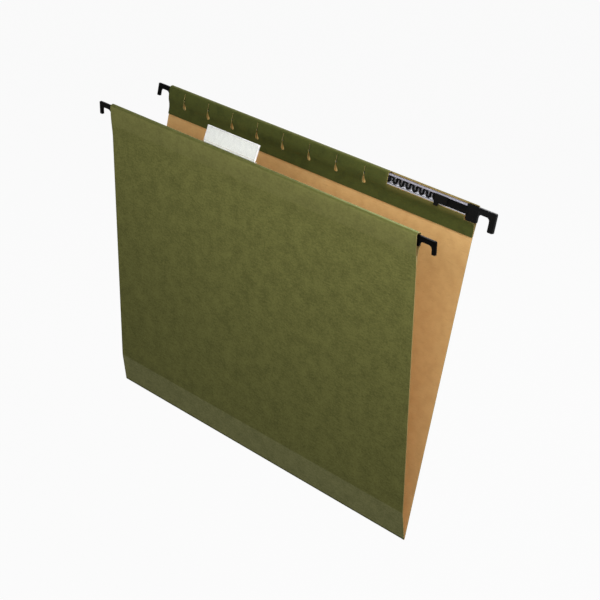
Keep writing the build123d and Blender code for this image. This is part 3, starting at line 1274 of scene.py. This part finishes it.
def olive_board(name, side):
    """Outside of the board: paler where hands rub it, deep where it is folded in, with painted light and painted
    shade.
    """
    finish = board_finish(name, side)
    x, across, up = finish.axes()
    inward = across if side == "front" else -1 * across
    formation = finish.cloud(10 * MM, detail=4)
    flecks = finish.cloud(1.4 * MM, detail=4)
    grain = finish.cloud(0.5 * MM, detail=2)
    fibres = finish.cloud(0.45 * MM, stretch=FIBRE_LENGTH, turn=0.12)
    crossing = finish.cloud(0.4 * MM, stretch=FIBRE_LENGTH, turn=-0.5)
    patchy = finish.ramp(finish.cloud(3 * MM, detail=4), 0.35, 0.7)
    dark = finish.ramp(0.25 * formation + 0.3 * flecks + 0.25 * fibres + 0.2 * crossing, 0.36, 0.66)
    outside = finish.blend(dark, OLIVE, OLIVE_DARK)
    stained = finish.ramp(finish.cloud(8 * MM, detail=2), 0.5, 0.62)
    folded_in = finish.blend(0.7 * dark + 0.3 * stained, OLIVE_DEEP, OLIVE_DEEP_DARK)
    in_hem = finish.ramp(up, flap_end_up - 1.0 * MM, flap_end_up - 0.5 * MM)
    crown = finish.ramp(up, panel_high.z - 0.9 * MM, panel_high.z - 0.4 * MM)
    flap = in_hem * (1 - crown) * finish.ramp(inward, -0.7 * MM, -0.3 * MM)
    # The band of the hem is painted paler, as painted light, because it faces a little upwards.
    hem = finish.ramp(up, hem_line_up - 0.8 * MM, hem_line_up + 1.2 * MM)
    ends = finish.ramp(abs(x), half_width - 1.0 * MM, half_width)
    if side == "front":
        # The strip below the score is painted paler, as painted light.
        lit_strip = finish.ramp(up, score_axis.z + 1.0 * MM, score_axis.z - 0.6 * MM)
    else:
        # The back board's half of the strip is painted paler, as painted light.
        lit_strip = (1 - in_hem) * finish.ramp(inward, -0.3 * MM, 0.3 * MM)
        by_window = finish.ramp(x, WINDOW_START - 3 * MM, WINDOW_START + 3 * MM)
        # The flap just under the window's cut is painted paler, as painted light.
        lit_under_window = by_window * finish.ramp(up, window_low - 5 * MM, window_low + 1 * MM)
        folded_in = finish.blend(0.6 * lit_under_window, folded_in, OLIVE_LIT_UNDER_WINDOW)
    fold_up = (fold_axis - hem_middle[side]).dot(hem_up[side])
    # The board is painted darker along the bottom fold, as painted shade.
    fold_shade = finish.ramp(up, fold_up + 1.0 * MM, fold_up + 0.2 * MM)
    colour = finish.blend(0.3 * hem + 0.3 * ends * patchy, outside, OLIVE_RUBBED_AND_LIT)
    colour = finish.blend(0.8 * lit_strip, colour, finish.blend(dark, OLIVE_STRIP_LIT, OLIVE_STRIP_LIT_DARK))
    colour = finish.blend(0.8 * fold_shade, colour, OLIVE_FOLD_SHADE)
    colour = finish.blend(flap, colour, folded_in)
    # The crown is painted darker, as painted shade.
    shaded_crown = finish.ramp(up, crown_up + 0.2 * MM, panel_high.z - 0.4 * MM)
    colour = finish.blend(0.8 * shaded_crown, colour, OLIVE_CROWN_SHADE)
    colour = finish.blend(0.15 * crown * patchy, colour, OLIVE_RUBBED_AND_LIT)
    if side == "front":
        # A thin painted highlight along the crest of the front, growing towards the right.
        crest_highlight = finish.ramp(up, panel_high.z - 0.25 * MM, panel_high.z - 0.1 * MM)
        colour = finish.blend(0.3 * crest_highlight * finish.ramp(x, 10 * MM, 120 * MM), colour, OLIVE_CREST_HIGHLIGHT)
    return finish.surface(
        height=0.5 * grain + 0.3 * fibres + 0.2 * crossing,
        depth=0.05 * MM,
        Base_Color=colour,
        Roughness=0.72 + 0.2 * grain,
        Specular_IOR_Level=BOARD_GLOSS,
    )


for side in boards:
    print("outside:", olive_board(f"{side}_board_outside", side).name)

# %% [markdown]
# The inside of the same board is plain kraft: tan pulp with brown and pale fibres that lie every way.
# Inside the hem it is painted pale and bright, as painted light against the shade of the pocket. At
# the ends of the hem it is painted darker, as painted shade, and in the crown it is painted olive-tan,
# as painted shade with a green cast of light from the board.

# %% Kraft
KRAFT = srgb(211, 171, 113)
KRAFT_BROWN = srgb(191, 148, 92)
KRAFT_PALE = srgb(222, 188, 134)
# Painted light: a pale, bright kraft inside the hem.
KRAFT_LIT_IN_HEM = srgb(255, 222, 146)
# Painted shade in the crown, with a green cast of light from the board.
KRAFT_CROWN_SHADE = srgb(194, 168, 100)
# Painted shade at the ends of the hem.
KRAFT_END_SHADE = srgb(120, 102, 58)


def kraft_board(name, side):
    """Inside of the board: painted light inside the hem, painted shade at the hem's ends and in its crown."""
    finish = board_finish(name, side)
    x, _, up = finish.axes()
    ends = finish.ramp(abs(x), half_width - 12 * MM, half_width - 7 * MM)
    in_hem = finish.ramp(up, flap_end_up, hem_line_up)
    in_crown = finish.ramp(up, crown_up - 0.6 * MM, crown_up + 0.6 * MM)
    formation = finish.cloud(8 * MM, detail=5)
    grain = finish.cloud(0.5 * MM, detail=2)
    brown_fibres = finish.cloud(0.5 * MM, stretch=FIBRE_LENGTH, turn=0.35)
    pale_fibres = finish.cloud(0.4 * MM, stretch=FIBRE_LENGTH, turn=-0.25)
    colour = finish.blend(0.5 * finish.ramp(formation, 0.3, 0.75), KRAFT, KRAFT_BROWN)
    colour = finish.blend(0.6 * finish.ramp(brown_fibres, 0.58, 0.74), colour, KRAFT_BROWN)
    colour = finish.blend(0.6 * finish.ramp(pale_fibres, 0.6, 0.75), colour, KRAFT_PALE)
    # Inside the hem the kraft is painted bright, as painted light.
    colour = finish.blend(in_hem * (1 - ends), colour, KRAFT_LIT_IN_HEM)
    # The ends of the hem are painted darker, as painted shade.
    colour = finish.blend(0.85 * in_hem * ends, colour, KRAFT_END_SHADE)
    # The crown is painted olive-tan, as painted shade with a green cast of light.
    colour = finish.blend(0.85 * in_crown, colour, KRAFT_CROWN_SHADE)
    return finish.surface(
        height=0.5 * grain + 0.25 * brown_fibres + 0.25 * pale_fibres,
        depth=0.06 * MM,
        Base_Color=colour,
        Roughness=0.78 + 0.16 * grain,
        Specular_IOR_Level=BOARD_GLOSS,
    )


for side in boards:
    print("inside:", kraft_board(f"{side}_board_inside", side).name)

# %% [markdown]
# The cut edges show the core of the sheet, rougher than its faces: pale in the slots, and painted
# darker, as painted shade, at the ends of the sheet and round the window.

# %% Cut edges
CORE = srgb(190, 170, 108)
CORE_DARK = srgb(146, 130, 76)
# Painted shade on the cut edges at the ends of the sheet and round the window.
CORE_SHADE = srgb(120, 107, 61)


def cut_edge(name, side):
    """Cut edge of the board, with its fibres torn a little."""
    finish = board_finish(name, side)
    x, _, _ = finish.axes()
    # Cut edges at the ends of the sheet and round the window are painted darker, as painted shade.
    edge_shade = finish.ramp(abs(x), half_width - 1.0 * MM, half_width - 0.5 * MM)
    if side == "back":
        by_window = finish.ramp(x, WINDOW_START - 1.0 * MM, WINDOW_START - 0.5 * MM)
        edge_shade = finish.math("MAXIMUM", edge_shade, by_window)
    torn = finish.cloud(0.35 * MM, detail=4)
    colour = finish.blend(finish.ramp(torn, 0.35, 0.65), CORE, CORE_DARK)
    colour = finish.blend(0.9 * edge_shade, colour, CORE_SHADE)
    return finish.surface(
        height=torn,
        depth=0.1 * MM,
        Base_Color=colour,
        Roughness=0.8 + 0.15 * torn,
    )


for side in boards:
    print("edge:", cut_edge(f"{side}_board_edge", side).name)

# %% [markdown]
# The rails are bright rolled steel strip, and their lips are painted darker, as painted shade. Rolling
# leaves streaks along the strip, which show in the gloss more than in the colour, so the streaks feed the
# roughness and a very shallow bump, and tint the colour only a little.

# %% Rail steel
STEEL = srgb(196, 196, 203)
STEEL_DULL = srgb(172, 172, 180)
# Painted shade on the lip of the rail's mouth.
STEEL_LIP_SHADE = srgb(118, 116, 128)
STREAK_LENGTH = (60, 1, 1)


def rail_steel(name, side):
    """Bright rolled strip with fine streaks along X and a lip painted darker, as painted shade."""
    finish = Finish(name)
    finish.stand_upright(side)
    streaks = finish.cloud(0.25 * MM, stretch=STREAK_LENGTH)
    stain = finish.cloud(5 * MM, detail=4)
    _, _, up = finish.axes()
    lip = finish.ramp(up, rail_high.z - RAIL_LIP - 0.3 * MM, rail_high.z - RAIL_LIP)
    colour = finish.blend(0.3 * finish.ramp(streaks, 0.3, 0.7) + 0.2 * stain, STEEL, STEEL_DULL)
    # The lip is painted darker, as painted shade, with a little of the stain.
    colour = finish.blend(0.8 * lip + 0.2 * lip * stain, colour, STEEL_LIP_SHADE)
    return finish.surface(
        height=streaks,
        depth=0.002 * MM,
        Base_Color=colour,
        Metallic=0.5,
        Roughness=0.34 + 0.14 * streaks,
    )


for side, channel in rails.items():
    channel.data.materials.append(rail_steel(f"{side}_rail_steel", side))
    print(channel.name, "wears", channel.data.materials[0].name)

# %% [markdown]
# Hooks, springs and anchors are black moulded plastic with a fine spark-eroded grain. Handling polishes
# it in patches and leaves thin grey scuffs, so neither its gloss nor its black is even. The hooks of
# the covered hems are the same plastic, painted a deeper and duller black than the one that shows, as
# painted shade.

# %% Black plastic
BLACK = srgb(11, 11, 11)
BLACK_GLOSS = 0.06
# Painted shade: the covered hooks are the same plastic, made blacker and duller.
SHADED_BLACK = srgb(3, 3, 3)
SHADED_BLACK_GLOSS = 0.02
SCUFF = srgb(40, 40, 40)
SCUFF_LENGTH = (9, 1, 1)


def black_plastic(name, colour, gloss):
    """Moulded black plastic with fine grain and light scuffs."""
    finish = Finish(name)
    grain = finish.cloud(0.12 * MM, detail=2)
    polish = finish.cloud(3 * MM, detail=4)
    scuffs = finish.ramp(finish.cloud(0.2 * MM, stretch=SCUFF_LENGTH, turn=0.3), 0.66, 0.8)
    return finish.surface(
        height=grain,
        depth=0.02 * MM,
        Base_Color=finish.blend(0.4 * scuffs, colour, SCUFF),
        Roughness=0.34 + 0.16 * polish + 0.1 * scuffs,
        Specular_IOR_Level=gloss,
    )


black = black_plastic("black_plastic_finish", BLACK, BLACK_GLOSS)
# A shaded copy of the black plastic for the covered hooks, as painted shade.
shaded_black = black_plastic("covered_hook_shaded_finish", SHADED_BLACK, SHADED_BLACK_GLOSS)
anchors = [frame["nodes"][f"{side}_{end}_spring_anchor"] for side, end in HEM_ENDS]
for hook in hooks.values():
    hook.data.materials.append(black if hook is shown_hook else shaded_black)
for spring in springs.values():
    spring.data.materials.append(black)
for anchor in anchors:
    anchor.material_slots[0].material = black
print("black plastic on", len(hooks) + len(springs) + len(anchors), "pieces")

# %% [markdown]
# The clear plastic of the tab lets most of what is behind it through. Its rim gathers light and looks
# white, so the rim has a finish of its own with less of the background, a painted highlight. The thin
# bend is milky, and painted brighter as a painted highlight. Fine scratches and a faint haze break the
# gloss.

# %% Clear plastic
CLEAR = srgb(240, 243, 243)
RIM_WHITE = srgb(230, 230, 230)
# Milky plastic of the bend, painted brighter as a painted highlight.
MILKY_HIGHLIGHT = srgb(244, 245, 241)
HAZE = 0.1
SCRATCH_LENGTH = (40, 1, 1)


def clear_plastic(name, colour, body):
    """See-through plastic whose body says how much of the background it covers."""
    finish = Finish(name)
    scratches = finish.ramp(finish.cloud(0.1 * MM, stretch=SCRATCH_LENGTH, turn=0.2), 0.62, 0.8)
    cloudy = finish.cloud(4 * MM)
    return finish.surface(
        height=scratches,
        depth=0.004 * MM,
        Base_Color=colour,
        Roughness=0.1 + 0.15 * scratches + 0.1 * cloudy,
        Alpha=body + HAZE * cloudy + 0.1 * scratches,
    )


clear_plastic("tab_sleeve_clear", CLEAR, body=0.06)
clear_plastic("tab_sleeve_rim", RIM_WHITE, body=0.86)
# The bend is milky and painted bright, as a painted highlight.
tab_bend.data.materials.append(clear_plastic("tab_bend_plastic", MILKY_HIGHLIGHT, body=0.9))
tab_foot.data.materials.append(clear_plastic("tab_foot_plastic", CLEAR, body=0.1))
print("sleeve wears", [material.name for material in tab_sleeve.data.materials])

# %% [markdown]
# The label is uncoated white card, and the glue under the flaps has dried to a cream film with small
# bubbles. Card gets its look from fibres and glue from round cells, so one has stretched noise and the
# other a Voronoi pattern.

# %% Card and glue
CARD = srgb(221, 222, 216)
CARD_SHADE = srgb(213, 214, 207)
GLUE = srgb(222, 208, 172)
GLUE_AMBER = srgb(196, 174, 126)
BUBBLE = 0.8 * MM


def white_card(name):
    """White card with a faint fibre."""
    finish = Finish(name)
    fibres = finish.cloud(0.3 * MM, stretch=FIBRE_LENGTH, turn=0.4)
    formation = finish.cloud(5 * MM, detail=4)
    shade = 0.4 * formation + 0.3 * finish.ramp(fibres, 0.4, 0.7)
    return finish.surface(
        height=fibres,
        depth=0.02 * MM,
        Base_Color=finish.blend(shade, CARD, CARD_SHADE),
        Roughness=0.7 + 0.2 * fibres,
    )


def dry_glue(name):
    """Cream glue film with bubbles."""
    finish = Finish(name)
    bubbles = finish.node("ShaderNodeTexVoronoi", None, {"Vector": finish.spot, "Scale": 1 / BUBBLE})
    amber = finish.cloud(4 * MM, detail=4)
    return finish.surface(
        height=bubbles,
        depth=0.05 * MM,
        Base_Color=finish.blend(finish.ramp(amber, 0.35, 0.7), GLUE, GLUE_AMBER),
        Roughness=0.35 + 0.25 * amber,
    )


tab_label.data.materials.append(white_card("label_card"))
glue = dry_glue("dry_glue")
for side in boards:
    frame["nodes"][f"{side}_hem_glue"].material_slots[0].material = glue
print("finishes in all:", len([material for material in bpy.data.materials if material.users]))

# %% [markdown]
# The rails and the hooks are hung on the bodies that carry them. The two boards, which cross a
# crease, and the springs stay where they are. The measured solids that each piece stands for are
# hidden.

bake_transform(front_board)
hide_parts("front_panel", "front_hem_flap")

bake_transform(back_board)
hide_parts("back_panel", "back_hem_flap", "front_bottom_strip")

for side, channel in rails.items():
    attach(channel, side)
    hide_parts(f"{side}_rail")

for side, end in HEM_ENDS:
    name = f"{side}_{end}"
    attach(hooks[side, end], f"{name}_hook")
    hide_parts(f"{name}_hook")
    spring_start = hem_point(side, 0, stud_up, HANDS[end] * anchor_out)
    spring_end = hem_point(side, 0, stud_up, HANDS[end] * slider_in)
    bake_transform(springs[side, end])
    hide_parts(f"{name}_spring")
print("carried:", len(boards), "boards and", len(rails), "rails")
print("carried:", len(hooks), "hooks and", len(springs), "springs")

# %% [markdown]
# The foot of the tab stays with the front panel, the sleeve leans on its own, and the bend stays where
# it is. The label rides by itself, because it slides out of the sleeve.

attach(tab_foot, "front")
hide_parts("index_tab_foot")
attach(tab_sleeve, "tab")
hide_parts("index_tab_sleeve")
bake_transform(tab_bend)
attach(tab_label, "label")
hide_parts("label_insert")

# %% [markdown]
# The folder hangs in front of white paper. The floor lies well below it, takes its shadow, and looks
# white to the camera and in reflections through the Light Path node, with no extra light on the object.
# The world is made in the same way.

# %% Floor and surroundings
FLOOR_Z = -0.5
FLOOR_SIZE = 8.0
PAPER_WHITE = (1.0, 1.0, 1.0, 1.0)
PAPER_STRENGTH = 1.0
FLOOR_PALE = (0.35, 0.35, 0.35, 1.0)
SHADOW_SHARE = 0.05
SKY_STRENGTH = 0.1


def seen_directly(wiring):
    """1 for rays from the camera, in reflections and through clear pieces, and 0 for light on things."""
    path = wiring.tree.nodes.new("ShaderNodeLightPath")
    rays = [Value(wiring, path.outputs[f"Is {kind} Ray"]) for kind in ("Camera", "Glossy", "Transmission")]
    return wiring.math("MAXIMUM", rays[0], wiring.math("MAXIMUM", rays[1], rays[2]))


floor = add_start("floor", bpy.ops.mesh.primitive_plane_add, size=FLOOR_SIZE, location=(0, 0, FLOOR_Z))
settle(floor)
floor_paper = bpy.data.materials.new("floor_paper")
floor_paper.use_nodes = True
paper = Wiring(floor_paper.node_tree)
white = paper.node("ShaderNodeEmission", None, {"Color": PAPER_WHITE, "Strength": PAPER_STRENGTH})
matt = paper.node("ShaderNodeBsdfDiffuse", None, {"Color": FLOOR_PALE})
shown = (1 - SHADOW_SHARE) * seen_directly(paper)
mixed = paper.node("ShaderNodeMixShader", None, {0: shown, 1: matt, 2: white})
paper.show("ShaderNodeOutputMaterial", mixed)
floor.data.materials.append(floor_paper)

world = bpy.data.worlds.new("white_surroundings")
world.use_nodes = True
bpy.context.scene.world = world
sky = Wiring(world.node_tree)
strength = SKY_STRENGTH + (1 - SKY_STRENGTH) * seen_directly(sky)
background = sky.node("ShaderNodeBackground", None, {"Color": PAPER_WHITE, "Strength": strength})
sky.show("ShaderNodeOutputWorld", background)
print("floor at %.2f m" % FLOOR_Z)

# %% [markdown]
# The light is soft and plain. A long lamp close above the front makes the panel fade a little
# downwards, a lamp on the right shines down into the fold, and one behind keeps the back from going
# dark. The white surroundings fill.

# %% Lamps
LAMP_AIM = Vector((0, 0, -0.1))
LAMPS = {
    "front_lamp": {"place": Vector((0.03, -0.26, 0.12)), "width": 0.6, "height": 0.15, "watts": 0.9},
    "right_lamp": {"place": Vector((0.55, -0.03, 0.35)), "width": 0.4, "height": 0.4, "watts": 7.2},
    "back_lamp": {"place": Vector((-0.35, 0.75, 0.35)), "width": 0.7, "height": 0.7, "watts": 8.3},
}


def soft_lamp(name, place, width, height, watts):
    """Area lamp that looks at the folder."""
    lamp = add_start(name, bpy.ops.object.light_add, type="AREA", location=place)
    lamp.data.shape = "RECTANGLE"
    lamp.data.size = width
    lamp.data.size_y = height
    lamp.data.energy = watts
    lamp.rotation_euler = (LAMP_AIM - place).to_track_quat("-Z", "Y").to_euler()
    return lamp


for name, settings in LAMPS.items():
    lamp = soft_lamp(name, **settings)
    print(lamp.name, "gives %.1f W" % lamp.data.energy)

# %% [markdown]
# The camera looks from the right of the front and a little above, through a long lens. Its place
# follows from two angles, a distance and the point that it looks at.

# %% Camera
CAMERA_AZIMUTH = radians(44.57)
CAMERA_ELEVATION = radians(28.13)
CAMERA_ROLL = radians(0.92)
CAMERA_DISTANCE = 1.1147
CAMERA_TARGET = Vector((0.0251, -0.0061, -0.0985))
LENS = 94.82
SENSOR = 36.0

view_back = Vector(
    (
        sin(CAMERA_AZIMUTH) * cos(CAMERA_ELEVATION),
        -cos(CAMERA_AZIMUTH) * cos(CAMERA_ELEVATION),
        sin(CAMERA_ELEVATION),
    )
)
level = Vector(ALONG_Z).cross(view_back).normalized()
upright = view_back.cross(level)
view_right = cos(CAMERA_ROLL) * level + sin(CAMERA_ROLL) * upright
view_up = cos(CAMERA_ROLL) * upright - sin(CAMERA_ROLL) * level
stand = Matrix((view_right, view_up, view_back)).transposed().to_4x4()
stand.translation = CAMERA_TARGET + CAMERA_DISTANCE * view_back

camera = add_start("Camera", bpy.ops.object.camera_add)
camera.matrix_world = stand
camera.data.sensor_width = SENSOR
camera.data.lens = LENS
bpy.context.scene.camera = camera
bpy.context.scene.view_settings.view_transform = "Standard"
print("camera %.2f m away, lens %.0f mm" % (CAMERA_DISTANCE, LENS))
